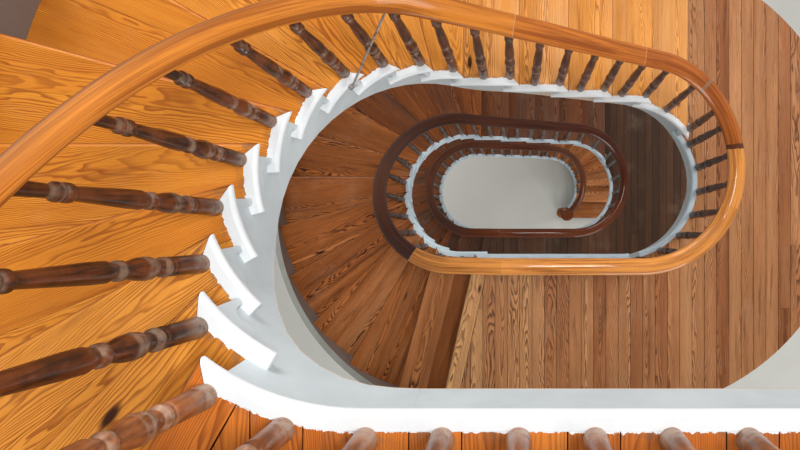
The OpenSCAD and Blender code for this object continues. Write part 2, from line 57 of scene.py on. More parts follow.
WELD = 1e-5             # corners nearer than this are one
TREAD_SAW = 0.0004      # half the gap between the two boards of a tread
FLOOR_SAW = 0.0012      # half the gap between floor boards
BUTT_SAW = 0.0006       # half the gap where floor boards butt
BORDER = 0.095          # width of the board along a landing's front edge
PLATE = 0.013           # thickness of the brackets on the string
UP = Vector((0, 0, 1))
near_lo, near_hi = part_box("landing_nosing_2")
CENTRE = Vector((near_hi.x - HALF - WELL_R - NOSING, near_lo.y + WELL_R + NOSING, 0))


# Places round the well
def along_well(place):
    """Arc length from the right end of the far side, and distance outside the nosing tips."""
    x, y = place.x - CENTRE.x, place.y - CENTRE.y
    if abs(x) <= HALF:
        return (HALF - x, y - WELL_R) if y > 0 else (LEFT_TURN + HALF + x, -y - WELL_R)
    turn = math.atan2(abs(x) - HALF, y)
    s = 2 * HALF + WELL_R * turn if x < 0 else -WELL_R * turn
    return s, math.hypot(abs(x) - HALF, y) - WELL_R


def heading(s):
    """Direction of climb at an arc length."""
    s = (s + math.pi * WELL_R) % AROUND - math.pi * WELL_R
    turn = s / WELL_R if s < 0 else min(max(0, s - 2 * HALF), math.pi * WELL_R) / WELL_R
    return Vector((-math.cos(turn), -math.sin(turn), 0))


def spot(s, d, z):
    """Point at arc length s, moved out by d, at height z."""
    s = (s + math.pi * WELL_R) % AROUND - math.pi * WELL_R
    r = WELL_R + d
    if s < 0:
        x, y = HALF + r * math.sin(-s / WELL_R), r * math.cos(s / WELL_R)
    elif s <= 2 * HALF:
        x, y = HALF - s, r
    elif s <= LEFT_TURN:
        turn = (s - 2 * HALF) / WELL_R
        x, y = -HALF - r * math.sin(turn), r * math.cos(turn)
    else:
        x, y = s - LEFT_TURN - HALF, -r
    return Vector((CENTRE.x + x, CENTRE.y + y, z))


# Meshes
def merged(node, flat_faces=True):
    """Welded copy of a CAD node, its triangles joined into whole flat faces unless told not to."""
    bm = bmesh.new()
    bm.from_mesh(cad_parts[node].data)
    bmesh.ops.remove_doubles(bm, verts=bm.verts, dist=WELD)
    if flat_faces:
        bmesh.ops.dissolve_limit(bm, angle_limit=math.radians(1), verts=bm.verts, edges=bm.edges)
    return bm


def islands(bm):
    """Lists of faces that hang together, in the mesh's own order."""
    for face in bm.faces:
        face.tag = False
    found = []
    for first in bm.faces:
        if first.tag:
            continue
        first.tag = True
        group = [first]
        for face in group:
            for edge in face.edges:
                for other in edge.link_faces:
                    if not other.tag:
                        other.tag = True
                        group.append(other)
        found.append(group)
    return found


def corners(faces):
    """Vertices of some faces, each once and in order."""
    return list(dict.fromkeys(v for f in faces for v in f.verts))


def sides(faces):
    """Edges of some faces, each once and in order."""
    return list(dict.fromkeys(e for f in faces for e in f.edges))


def middle(verts):
    """Middle of the box round some vertices."""
    lo = Vector([min(v.co[i] for v in verts) for i in range(3)])
    hi = Vector([max(v.co[i] for v in verts) for i in range(3)])
    return (lo + hi) / 2


def sections(rows):
    """Rows that start with a place along the well, in order and grouped by cross section."""
    groups = []
    for row in sorted(rows, key=lambda row: row[0]):
        if not groups or row[0] - groups[-1][-1][0] > SAME:
            groups.append([])
        groups[-1].append(row)
    return groups


def level(edge):
    """Whether an edge lies level."""
    return abs(edge.verts[0].co.z - edge.verts[1].co.z) < 1e-4


def round_edges(bm, edges, width, segments):
    """Rounds some edges."""
    bmesh.ops.bevel(bm, geom=edges, offset=width, offset_type="OFFSET", affect="EDGES",
                    segments=segments, profile=0.5, material=-1, clamp_overlap=True)


def saw(bm, faces, place, normal, half_gap):
    """Saws some faces in two along a plane, caps both pieces and draws them a little apart."""
    geom = corners(faces) + sides(faces) + list(faces)
    cut = bmesh.ops.bisect_plane(bm, geom=geom, dist=1e-6, plane_co=place, plane_no=normal)["geom_cut"]
    line = [e for e in cut if isinstance(e, bmesh.types.BMEdge)]
    if not line:
        return
    bmesh.ops.split_edges(bm, edges=line)
    rims = [e for e in bm.edges if e.is_boundary]
    bmesh.ops.holes_fill(bm, edges=rims, sides=0)
    ends = list(dict.fromkeys(v for e in rims for v in e.verts))
    ahead = [sum((f.calc_center_median() - place).dot(normal) for f in v.link_faces) for v in ends]
    for v, side in zip(ends, ahead):
        v.co += normal * (half_gap if side > 0 else -half_gap)


def shown(bm, name, nodes, material, smooth=35):
    """Makes the object of a finished mesh, which rides on the stair and stands for some CAD nodes."""
    bmesh.ops.recalc_face_normals(bm, faces=bm.faces)
    for face in bm.faces:
        face.smooth = True
    for edge in bm.edges:
        flat = any(abs(f.normal.z) > 0.9999 for f in edge.link_faces)
        edge.smooth = edge.calc_face_angle(0) < math.radians(3 if flat else smooth)
    mesh = bpy.data.meshes.new(name)
    bm.to_mesh(mesh)
    bm.free()
    mesh.materials.append(material)
    piece = bpy.data.objects.new(name, mesh)
    bpy.context.scene.collection.objects.link(piece)
    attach(piece, "root")
    if nodes:
        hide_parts(*nodes)


def board_layers(bm):
    """Vertex layers: place in the board's own directions, the board's tone, and distance past its mitred corner."""
    layers = bm.verts.layers
    return layers.float_vector.new("grain"), layers.float.new("tone"), layers.float.new("past")


def mark_board(layers, faces, run, shade, corner, ahead, draw):
    """Writes a board's layers. Its place is counted from the heart of the tree that it was sawn from."""
    grain, tone, past = layers
    verts = corners(faces)
    centre = middle(verts)
    across = UP.cross(run)
    along, aside, deep, tilt = (draw.uniform(*span)
                                for span in ((0, 9), (-0.08, 0.08), (0.03, 0.13), (-0.04, 0.04)))
    for v in verts:
        off = v.co - centre
        x = off.dot(run)
        v[grain] = (x + along, off.dot(across) + aside, off.z - deep + x * tilt)
        v[tone] = shade
        v[past] = (v.co - corner).dot(ahead)


# Steps and floors
def tread_run(faces):
    """Middle of a tread, and the direction of its boards: the mean of its two longest level edges."""
    verts = corners(faces)
    centre = middle(verts)
    top = max(v.co.z for v in verts)
    long_edges = sorted((e for e in sides(faces) if level(e) and e.verts[0].co.z > top - 1e-4),
                        key=lambda e: -e.calc_length())[:2]
    out = -heading(along_well(centre)[0]).cross(UP)
    run = Vector()
    for e in long_edges:
        way = (e.verts[1].co - e.verts[0].co).normalized()
        run += way if way.dot(out) > 0 else -way
    return centre, run.normalized()


def tread_boards(k, strips, shades, material):
    """Treads of a flight, two boards each. shades gives, up to each place along the well, the span of tones, and so
    paints light and shade by place.
    """
    bm = merged(f"treads_{k}")
    draw = random.Random(40 + k)
    runs = [tread_run(faces) for faces in islands(bm)]
    for faces in islands(bm):
        centre = middle(corners(faces))
        centre, run = min(runs, key=lambda r: (r[0] - centre).length_squared)
        across = UP.cross(run)
        saw(bm, faces, centre + across * draw.uniform(-0.025, 0.02), across, TREAD_SAW)
    layers = board_layers(bm)
    for faces in islands(bm):
        centre = middle(corners(faces))
        run = min(runs, key=lambda r: (r[0] - centre).length_squared)[1]
        start = min(strips, key=lambda strip: abs(strip[2] - centre.z))[0]
        # Painted light and shade: the span of tones depends on where the tread lies along the well
        shade = [first + draw.random() * (last - first) for end, first, last in shades if start < end][0]
        mark_board(layers, faces, run, shade, spot(start + NOSING, NOSING, 0), heading(start), draw)
    shown(bm, f"tread_boards_{k}", [f"treads_{k}"], material)


def behind_border(faces, border, inwards):
    """Whether a board lies behind the border board."""
    return min((v.co - border).dot(inwards) for v in corners(faces)) > -SAME


def floor_boards(k, start, width, material):
    """Strip boards of a landing, butted here and there, with a border board along its front edge."""
    bm = merged(f"landing_boards_{k}")
    faces = islands(bm)[0]
    lo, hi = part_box(f"landing_boards_{k}")
    smallest = 0.003    # area under which a face is only part of the rounded edge
    fronts = [f for f in faces if abs(f.normal.z) < 0.1 and f.calc_area() > smallest
              and f.normal.dot(heading(along_well(f.calc_center_median())[0])) < -0.6]
    front = min(fronts, key=lambda f: f.calc_center_median().x)
    inwards = -front.normal.copy()
    border = front.calc_center_median() + inwards * BORDER
    saw(bm, faces, border, inwards, FLOOR_SAW)
    x = lo.x + width / 2
    while x < hi.x:
        for faces in islands(bm):
            across = [v.co.x for v in corners(faces)]
            if behind_border(faces, border, inwards) and min(across) < x < max(across):
                saw(bm, faces, Vector((x, 0, 0)), Vector((1, 0, 0)), FLOOR_SAW)
        x += width
    draw = random.Random(80 + k)
    for faces in islands(bm):
        ends = [v.co.y for v in corners(faces)]
        butt, butted = draw.uniform(min(ends), max(ends)), draw.random() < 0.3
        long_board = max(ends) - min(ends) > 0.7
        if butted and long_board and behind_border(faces, border, inwards):
            saw(bm, faces, Vector((0, butt, 0)), Vector((0, 1, 0)), BUTT_SAW)
    layers = board_layers(bm)
    for faces in islands(bm):
        run = Vector((0, 1, 0)) if behind_border(faces, border, inwards) else UP.cross(inwards)
        # Painted light and shade: each board's tone is partly chance and partly place, paler towards the left and
        # darker towards the right
        painted_shade_rightwards = (middle(corners(faces)).x - lo.x) / (hi.x - lo.x)
        mark_board(layers, faces, run, 0.6 * draw.random() + 0.4 * painted_shade_rightwards,
                   spot(start + NOSING, NOSING, 0), heading(start), draw)
    shown(bm, f"floor_boards_{k}", [f"landing_boards_{k}"], material)


def nosing_strips(node, near, material, gap=()):
    """White strips along the well, their ends and square corners softened. near is for a strip that starts on
    the well's near side; gap is the turn round the well's right end between which a piece has broken out. Gives
    each strip's start, end and top."""
    bm = merged(node)
    bend = CENTRE + Vector((HALF, 0, 0))
    for turn in gap:
        for faces in islands(bm):
            saw(bm, faces, bend, Vector((math.cos(turn), math.sin(turn), 0)), 0)
    for faces in islands(bm) if gap else ():
        off = middle(corners(faces)) - bend
        if gap[0] < math.atan2(off.x, -off.y) < gap[1]:
            bmesh.ops.delete(bm, geom=corners(faces), context="VERTS")
    runs = []
    for faces in islands(bm):
        verts = corners(faces)
        places = [along_well(v.co)[0] for v in verts]
        if near:
            places = [s + AROUND if s < WRAP else s for s in places]
        runs.append((min(places), max(places), max(v.co.z for v in verts)))
    square = [e for e in bm.edges if e.calc_face_angle(0) > math.radians(60)
              and along_well(middle(e.verts))[1] < NOSING - SAME]
    round_edges(bm, square, 0.0016, 2)
    shown(bm, node.replace("nosing", "nosing_strip"), [node], material)
    return runs


def brackets(k, runs, rise, material):
    """Carved plates on the string: each stands on the strip below, and scrolls along under the tread end."""
    outline = [(0.00, 0.00), (0.00, -1.00), (0.10, -1.00), (0.15, -0.92), (0.14, -0.78), (0.19, -0.64),
               (0.29, -0.54), (0.41, -0.50), (0.49, -0.55), (0.57, -0.59), (0.65, -0.55), (0.69, -0.45),
               (0.77, -0.37), (0.87, -0.35), (0.95, -0.28), (1.00, -0.16), (1.00, 0.00)]
    high = rise - TREAD - 0.001
    bm = bmesh.new()
    for start, end, top in runs:
        length = min(0.20, (end - start) * 0.62)
        ring = [bm.verts.new(spot(start + NOSING + u * length, NOSING - 0.0003, top - TREAD - 0.0005 + z * high))
                for u, z in outline]
        face = bm.faces.new(ring)
        moved = bmesh.ops.extrude_face_region(bm, geom=[face])["geom"]
        for v in (g for g in moved if isinstance(g, bmesh.types.BMVert)):
            s, d = along_well(v.co)
            v.co = spot(s, d - PLATE, v.co.z)
    shown(bm, f"string_brackets_{k}", [], material)


def string_piece(node, material):
    """Painted string or fascia, with the height of each point above its lower edge."""
    bm = merged(node)
    up = bm.verts.layers.float.new("up")
    lowest = min(v.co.z for v in bm.verts)
    for section in sections((along_well(v.co)[0], v) for v in bm.verts):
        low = lowest if "fascia" in node else min(v.co.z for s, v in section)
        for s, v in section:
            v[up] = v.co.z - low
    shown(bm, f"{node}_painted", [node], material)


# Rails and balusters
def rail_piece(node, near, name, material):
    """Handrail with rounded section, and its grain along the run."""
    bm = merged(node)
    grain = bm.verts.layers.float_vector.new("grain")
    rows = []
    for v in bm.verts:
        s, d = along_well(v.co - LEAN)
        rows.append((s + AROUND if near and s < WRAP else s, d, v))
    whole = middle(bm.verts).z
    for section in sections(rows):
        centre = whole if near else middle([v for s, d, v in section]).z
        for s, d, v in section:
            v[grain] = (s, d, v.co.z - centre)
    shown(bm, name, [node], material, smooth=50)


def turned_piece(node, material):
    """Turned balusters, with each point's height above the foot and its share of the whole height."""
    bm = merged(node, flat_faces=False)
    up, share = bm.verts.layers.float.new("up"), bm.verts.layers.float.new("share")
    for faces in islands(bm):
        verts = corners(faces)
        heights = [v.co.z for v in verts]
        foot, top = min(heights), max(heights)
        for v in verts:
            v[up] = v.co.z - foot
            v[share] = (v.co.z - foot) / (top - foot)
    shown(bm, f"{node}_turned", [node], material)


# Materials
def linear(red, green, blue):
    """Colour as a screen shows it, from 0 to 255, as the shader wants it."""
    return tuple(((c / 255 + 0.055) / 1.055) ** 2.4 if c > 10 else c / 255 / 12.92
                 for c in (red, green, blue)) + (1,)


def finish(name, roughness, coat=0.0, specular=0.5):
    """New material with its fixed values on the shader's own sockets."""
    material = bpy.data.materials.new(name)
    material.use_nodes = True
    shader = material.node_tree.nodes["Principled BSDF"]
    shader.inputs["Roughness"].default_value = roughness
    shader.inputs["Coat Weight"].default_value = coat
    shader.inputs["Coat Roughness"].default_value = 0.18
    shader.inputs["Specular IOR Level"].default_value = specular
    return material, material.node_tree, shader


def add(tree, kind, inputs=(), **settings):
    """Adds a shader node; each input takes a value or another node's output."""
    node = tree.nodes.new("ShaderNode" + kind)
    for key, value in settings.items():
        setattr(node, key, value)
    for key, value in dict(inputs).items():
        if isinstance(value, bpy.types.NodeSocket):
            tree.links.new(value, node.inputs[key])
        else:
            node.inputs[key].default_value = value
    return node


def work(tree, operation, a, b=0.0, c=0.0):
    """Result of a sum on two or three values."""
    return add(tree, "Math", {0: a, 1: b, 2: c}, operation=operation).outputs[0]


def noise(tree, vector, scale, detail=3.0, rough=0.55, distortion=0.0):
    """Noise over a vector."""
    return add(tree, "TexNoise", {"Vector": vector, "Scale": scale, "Detail": detail, "Roughness": rough,
                                  "Distortion": distortion}).outputs["Fac"]


def knots(tree, vector):
    """Distance from the nearest knot over a vector."""
    return add(tree, "TexVoronoi", {"Vector": vector, "Scale": 1.0}).outputs["Distance"]


def stretched(tree, vector, x, y, z):
    """A vector with each direction scaled."""
    return add(tree, "VectorMath", {0: vector, 1: (x, y, z)}, operation="MULTIPLY").outputs[0]


def ramp(tree, value, stops):
    """Colours along a value."""
    node = add(tree, "ValToRGB", {"Fac": value})
    band = node.color_ramp
    while len(band.elements) < len(stops):
        band.elements.new(0.5)
    for element, (position, colour) in zip(band.elements, stops):
        element.position = position
        element.color = colour
    return node.outputs["Color"]


def step(tree, value, low, high):
    """Smooth 0 to 1 as the value goes from low to high."""
    return add(tree, "MapRange", {"Value": value, "From Min": low, "From Max": high},
               interpolation_type="SMOOTHSTEP").outputs["Result"]


def mix(tree, share, first, second, blend="MIX"):
    """Two colours mixed."""
    node = add(tree, "Mix", {0: share, 6: first, 7: second}, data_type="RGBA", blend_type=blend)
    return node.outputs[2]


def bump(tree, shader, height, strength, distance):
    """Relief on a shader."""
    node = add(tree, "Bump", {"Height": height, "Strength": strength, "Distance": distance})
    tree.links.new(node.outputs["Normal"], shader.inputs["Normal"])


def layer(tree, name):
    """Value of a piece's own vertex layer."""
    return add(tree, "Attribute", attribute_name=name).outputs["Fac"]


def layer_place(tree, name):
    """Vector of a piece's own vertex layer."""
    return add(tree, "Attribute", attribute_name=name).outputs["Vector"]


def well_distance(tree, place):
    """Distance outside the nosing tips, from Object coordinates."""
    moved = add(tree, "VectorMath", {0: place, 1: (-CENTRE.x, -CENTRE.y, 0)}).outputs[0]
    parts = add(tree, "SeparateXYZ", {0: moved}).outputs
    past = work(tree, "MAXIMUM", work(tree, "SUBTRACT", work(tree, "ABSOLUTE", parts[0]), HALF), 0.0)
    square = work(tree, "ADD", work(tree, "POWER", past, 2.0), work(tree, "MULTIPLY", parts[1], parts[1]))
    return work(tree, "SUBTRACT", work(tree, "SQRT", square), WELL_R)


def object_place(tree):
    """Object coordinates."""
    return add(tree, "TexCoord").outputs["Object"]


def upwards(tree):
    """How far the surface faces up: 1 where it is level."""
    return add(tree, "SeparateXYZ", {0: add(tree, "NewGeometry").outputs["Normal"]}).outputs[2]


def pine(name, tones, dark, contrast, gloss=0.05, ragged=0.0):
    """Heart pine: each board has its own tone, and growth rings that arch over its middle; fine fibres, stains,
    knots, worn patches, and beside the strips dirt and stray white paint. Painted shade darkens the faces that don't
    face up."""
    material, tree, shader = finish(name, 0.45, coat=gloss, specular=0.15)
    place, tone = layer_place(tree, "grain"), layer(tree, "tone")
    world = object_place(tree)
    heart = add(tree, "VectorMath", {0: stretched(tree, place, 0, 1, 1)}, operation="LENGTH").outputs["Value"]
    wander = noise(tree, stretched(tree, place, 2.0, 11, 11), 1.0, 3.0, 0.5)
    ring = work(tree, "FRACT", work(tree, "MULTIPLY_ADD", wander, 11.0, work(tree, "MULTIPLY", heart, 290.0)))
    latewood = work(tree, "MULTIPLY", step(tree, ring, 0.35, 0.85), step(tree, ring, 1.0, 0.90))
    streak = noise(tree, stretched(tree, place, 1.0, 26, 26), 1.0, 4.0, 0.6, 0.2)
    fibre = noise(tree, stretched(tree, place, 5.0, 380, 380), 1.0, 3.0, 0.6)
    base = ramp(tree, work(tree, "MULTIPLY_ADD", streak, 0.60, work(tree, "MULTIPLY_ADD", tone, 0.80, -0.20)),
                [(i / (len(tones) - 1), c) for i, c in enumerate(tones)])
    strong = step(tree, noise(tree, stretched(tree, place, 1.3, 5, 5), 1.0, 2.0), 0.25, 0.65)
    base = mix(tree, work(tree, "MULTIPLY", latewood, work(tree, "MULTIPLY_ADD", strong, contrast, contrast * 0.35)),
               base, dark)
    base = mix(tree, work(tree, "MULTIPLY", step(tree, fibre, 0.45, 0.75), contrast * 0.7), base, dark)
    stain = step(tree, noise(tree, stretched(tree, place, 1.6, 30, 30), 1.0, 4.0, 0.6), 0.56, 0.72)
    base = mix(tree, work(tree, "MULTIPLY", stain, 0.55), base, dark)
    wear = step(tree, noise(tree, world, 3.1, 6.0, 0.65), 0.52, 0.78)
    base = mix(tree, work(tree, "MULTIPLY", wear, 0.10), base, linear(206, 178, 150))
    base = mix(tree, step(tree, knots(tree, stretched(tree, place, 1.8, 5.5, 5.5)), 0.085, 0.03), base,
               linear(66, 32, 16))
    # Painted shade: faces that don't face up, such as the nosings' fronts and the boards' edges, are drawn darker
    base = mix(tree, work(tree, "MULTIPLY", step(tree, upwards(tree), 0.92, 0.45), 0.8), base, dark)
    if ragged:
        outside = work(tree, "SUBTRACT", well_distance(tree, world), NOSING)
        smear = noise(tree, world, 34.0, 5.0, 0.7)
        dirt = work(tree, "MULTIPLY", step(tree, outside, 0.030, 0.004), step(tree, smear, 0.42, 0.66))
        base = mix(tree, work(tree, "MULTIPLY", dirt, 0.6), base, linear(120, 92, 72))
        stray = work(tree, "MAXIMUM", work(tree, "MULTIPLY_ADD", noise(tree, world, 60.0, 4.0, 0.7), ragged,
                                           -0.45 * ragged), 0.0004)
        paint = work(tree, "MULTIPLY", step(tree, work(tree, "SUBTRACT", stray, outside), -0.0005, 0.0007),
                     work(tree, "MULTIPLY", step(tree, outside, -0.002, -0.001),
                          step(tree, layer(tree, "past"), -0.001, 0.003)))
        base = mix(tree, paint, base, linear(238, 240, 240))
    tree.links.new(base, shader.inputs["Base Color"])
    bump(tree, shader, work(tree, "ADD", fibre, work(tree, "MULTIPLY", latewood, 0.5)), 0.2, 0.001)
    return material


def varnished(name, lengths, gloss=0.45, joints=(), putty=(), broken=()):
    """Varnished handrail with long dark grain, knots and specks of paint. lengths gives the place along the
    rail where each length of timber ends, and its colour; joints, putty and broken give places along it."""
    material, tree, shader = finish(name, 0.34, coat=gloss, specular=0.10)
    shader.inputs["Coat Roughness"].default_value = 0.07
    place = layer_place(tree, "grain")
    along, across = add(tree, "SeparateXYZ", {0: place}).outputs[:2]
    slant = work(tree, "MULTIPLY_ADD", across, 0.15, along)
    base = lengths[-1][1]
    for end, colour in reversed(lengths[:-1]):
        base = mix(tree, work(tree, "LESS_THAN", slant, end), base, colour)
    shades = mix(tree, 1.0, base, (0.45, 0.36, 0.28, 1), "MULTIPLY")
    long_grain = noise(tree, stretched(tree, place, 1.6, 42, 42), 1.0, 5.0, 0.62, 0.4)
    fine = noise(tree, stretched(tree, place, 9, 420, 420), 1.0, 2.0)
    base = mix(tree, step(tree, work(tree, "MULTIPLY_ADD", fine, 0.25, work(tree, "MULTIPLY", long_grain, 0.8)),
                          0.40, 0.66), base, shades)
    patches = noise(tree, stretched(tree, place, 3.0, 6, 6), 1.0, 4.0)
    base = mix(tree, work(tree, "MULTIPLY", step(tree, patches, 0.5, 0.75), 0.35), base, shades)
    base = mix(tree, step(tree, knots(tree, stretched(tree, place, 1.9, 11, 11)), 0.12, 0.03), base,
               linear(58, 28, 14))
    for spots, half_width, colour in ((joints, 0.0010, linear(196, 150, 104)),
                                      (putty, 0.009, linear(138, 98, 70)),
                                      (broken, 0.012, linear(88, 46, 22))):
        for where in spots:
            off = work(tree, "ABSOLUTE", work(tree, "SUBTRACT", slant, where))
            edge = work(tree, "MULTIPLY_ADD", noise(tree, place, 90.0, 3.0), half_width, half_width * 0.5)
            base = mix(tree, step(tree, work(tree, "SUBTRACT", edge, off), -0.0004, 0.0006), base, colour)
    specks = step(tree, noise(tree, object_place(tree), 60.0, 2.0), 0.80, 0.83)
    base = mix(tree, specks, base, linear(226, 224, 218))
    tree.links.new(base, shader.inputs["Base Color"])
    bump(tree, shader, long_grain, 0.08, 0.0012)
    return material


def turned_wood(name, light, dark, rings=(), dusty=0.7):
    """Old turned wood: glossy brown shafts, rings rubbed pale, dust on what faces up and round the feet."""
    material, tree, shader = finish(name, 0.42, coat=0.30, specular=0.15)
    place = object_place(tree)
    grain = noise(tree, stretched(tree, place, 90, 90, 5), 1.0, 4.0, 0.6)
    patches = noise(tree, stretched(tree, place, 6, 6, 9), 1.0, 4.0, 0.6)
    base = mix(tree, step(tree, work(tree, "MULTIPLY_ADD", grain, 0.5, work(tree, "MULTIPLY", patches, 0.5)),
                          0.38, 0.60), dark, light)
    smear = step(tree, noise(tree, place, 45.0, 4.0), 0.30, 0.62)
    dust = step(tree, upwards(tree), 0.25, 0.85)
    if rings:
        plain, pale, fade = (0, 0, 0, 1), (1, 1, 1, 1), 0.010
        stops = [stop for low, high in rings
                 for stop in ((low - fade, plain), (low, pale), (high, pale), (high + fade, plain))]
        rubbed = ramp(tree, layer(tree, "share"), stops)
        dust = work(tree, "MAXIMUM", dust, work(tree, "MULTIPLY", rubbed, 0.75))
        dust = work(tree, "MAXIMUM", dust, step(tree, layer(tree, "up"), 0.10, 0.01))
    base = mix(tree, work(tree, "MULTIPLY", work(tree, "MULTIPLY", dust, smear), dusty), base,
               linear(160, 136, 116))
    worn = step(tree, noise(tree, stretched(tree, place, 28, 28, 9), 1.0, 5.0, 0.7), 0.58, 0.74)
    base = mix(tree, work(tree, "MULTIPLY", worn, 0.3), base, linear(158, 122, 96))
    tree.links.new(base, shader.inputs["Base Color"])
    bump(tree, shader, grain, 0.25, 0.001)
    return material


def painted(name, colour, shade, chip, chips, roughness=0.5, tan_lower_edge=False):
    """Brushed paint, dirty in patches, with small chips. With its last flag set, the lowest few millimetres above
    the lower edge are pale tan.
    """
    material, tree, shader = finish(name, roughness, specular=0.3)
    place = object_place(tree)
    patches = noise(tree, place, 6.0, 5.0, 0.6)
    base = mix(tree, step(tree, patches, 0.35, 0.75), colour, shade)
    grime = step(tree, noise(tree, place, 38.0, 5.0, 0.7), 0.60, 0.80)
    base = mix(tree, work(tree, "MULTIPLY", grime, 0.35), base, shade)
    flakes = step(tree, noise(tree, place, 75.0, 4.0, 0.65), chips, chips + 0.02)
    base = mix(tree, flakes, base, chip)
    # The lowest few millimetres of the piece turn pale tan
    if tan_lower_edge:
        base = mix(tree, step(tree, layer(tree, "up"), 0.006, 0.002), base, linear(206, 184, 160))
    tree.links.new(base, shader.inputs["Base Color"])
    strokes = noise(tree, stretched(tree, place, 60, 60, 260), 1.0, 3.0)
    bump(tree, shader, work(tree, "SUBTRACT", strokes, work(tree, "MULTIPLY", flakes, 2.0)), 0.15, 0.0012)
    return material


def moulded_paint(name, top, face, line):
    """Dull paint of the wall string: its moulded top pale with dark lines painted as the shade in its grooves, its
    face darker.
    """
    material, tree, shader = finish(name, 0.55, specular=0.25)
    place = object_place(tree)
    moulding = step(tree, upwards(tree), 0.2, 0.5)
    base = mix(tree, moulding, face, top)
    patches = step(tree, noise(tree, place, 7.0, 5.0, 0.6), 0.35, 0.75)
    base = mix(tree, work(tree, "MULTIPLY", patches, 0.3), base, face)
    # Painted shade: thin dark lines on the moulded top, where its grooves lie in shade
    groove = work(tree, "FRACT", work(tree, "MULTIPLY", well_distance(tree, place), 110.0))
    grooves = work(tree, "MULTIPLY", step(tree, groove, 0.30, 0.05), moulding)
    base = mix(tree, work(tree, "MULTIPLY", grooves, 0.7), base, line)
    tree.links.new(base, shader.inputs["Base Color"])
    bump(tree, shader, noise(tree, stretched(tree, place, 60, 60, 260), 1.0, 3.0), 0.15, 0.0012)
    return material


def iron(name):
    """Thin rod of old iron, rubbed bright."""
    material, tree, shader = finish(name, 0.42)
    shader.inputs["Metallic"].default_value = 0.8
    place = object_place(tree)
    rust = step(tree, noise(tree, place, 60.0, 4.0), 0.5, 0.7)
    tree.links.new(mix(tree, rust, linear(178, 174, 170), linear(112, 84, 66)), shader.inputs["Base Color"])
    bump(tree, shader, noise(tree, place, 300.0), 0.2, 0.0006)
    return material


def dress(node, material):
    """Gives a CAD node its material."""
    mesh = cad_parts[node].data
    mesh.materials.clear()
    mesh.materials.append(material)


def tones(*colours):
    """Colours of boards, from the palest to the darkest."""
    return [linear(*colour) for colour in colours]


dark_grain = linear(140, 66, 22)
top_pine = pine("heart pine, top flight",
                tones((240, 176, 110), (232, 154, 64), (218, 138, 44), (198, 112, 32)),
                dark_grain, 0.55, gloss=0.06, ragged=0.024)
# Painted shade: the lower flights' treads are darker than the top flight's, partly for a darker varnish and partly
# for the shade deep in the well
low_pine_painted_shade = pine("heart pine, lower flights",
                tones((218, 148, 94), (174, 100, 44), (138, 74, 32), (96, 72, 58)),
                linear(60, 26, 10), 0.75, gloss=0.08)
strip_pine = pine("strip floor, middle",
                  tones((236, 180, 120), (212, 152, 102), (192, 130, 84), (168, 104, 62), (112, 60, 26)),
                  linear(76, 38, 18), 0.60)
# Painted shade: the lowest landing's boards are drawn dark brown for the shade deep in the well
low_floor_pine_painted_shade = pine("strip floor, low",
                  tones((112, 72, 46), (88, 56, 36), (68, 44, 28), (50, 32, 20)),
                  linear(36, 24, 18), 0.4)
floor_pine = pine("strip floor, top",
                  tones((226, 140, 62), (214, 122, 44), (198, 108, 38), (172, 90, 34)),
                  dark_grain, 0.55, ragged=0.028)
floors = {1: low_floor_pine_painted_shade, 2: strip_pine, 3: floor_pine}
END = 9.0   # past the last place on any piece
# Tones of the treads: up to each place along the well, the span from which each board's tone is drawn. These spans
# paint light and shade: on the lower flights the treads that lie in deep shade get the darker tones, and on the top
# flight the fliers get the paler tones, partly painted light and partly worn varnish.
shades = {1: [(0.0, 0.05, 0.35), (END, 0.70, 1.0)],
          2: [(0.90, 0.85, 1.0), (1.35, 0.60, 0.90), (1.90, 0.25, 0.60), (END, 0.0, 0.35)],
          3: [(0.90, 0.0, 0.20), (END, 0.40, 0.85)]}
orange, amber, dark_amber, pale_orange, brown = tones((206, 124, 40), (192, 108, 34), (180, 98, 32),
                                                      (228, 150, 72), (78, 34, 10))
top_rail = varnished("varnished rail, top",
                     [(-0.596, pale_orange), (0.087, dark_amber), (0.690, amber), (END, orange)],
                     joints=(0.087, 0.690), putty=(-0.261,), broken=(-0.586,))
middle_rail = varnished("varnished rail, middle", [(2.224, brown), (END, pale_orange)], 0.38, joints=(2.224,))
orange_rail = varnished("varnished rail, orange", [(END, pale_orange)], joints=(2.845, 3.259))
brown_rail = varnished("varnished rail, brown", [(END, linear(100, 46, 14))], 0.38)
flight_rails = {1: brown_rail, 2: middle_rail, 3: top_rail}
# Rings of a baluster, as shares of its height
beads = ((0.216, 0.234), (0.300, 0.330), (0.430, 0.452), (0.810, 0.828), (0.850, 0.866))
turned = turned_wood("old turned wood", linear(106, 52, 18), linear(46, 22, 8), beads, 0.55)
# Painted shade: the lower storeys' balusters are darker than the top flight's, with less dust, for the shade deep in
# the well
low_turned_painted_shade = turned_wood("old turned wood, lower flights", linear(84, 46, 22), linear(38, 20, 12), beads, 0.35)
pale_turned = turned_wood("old turned wood, rubbed", linear(152, 90, 50), linear(100, 54, 26), beads, 0.85)
post_wood = turned_wood("old turned wood, newel", linear(112, 62, 32), linear(60, 32, 18))
white = painted("worn white paint", linear(230, 233, 234), linear(218, 222, 224), linear(200, 176, 156), 0.80)
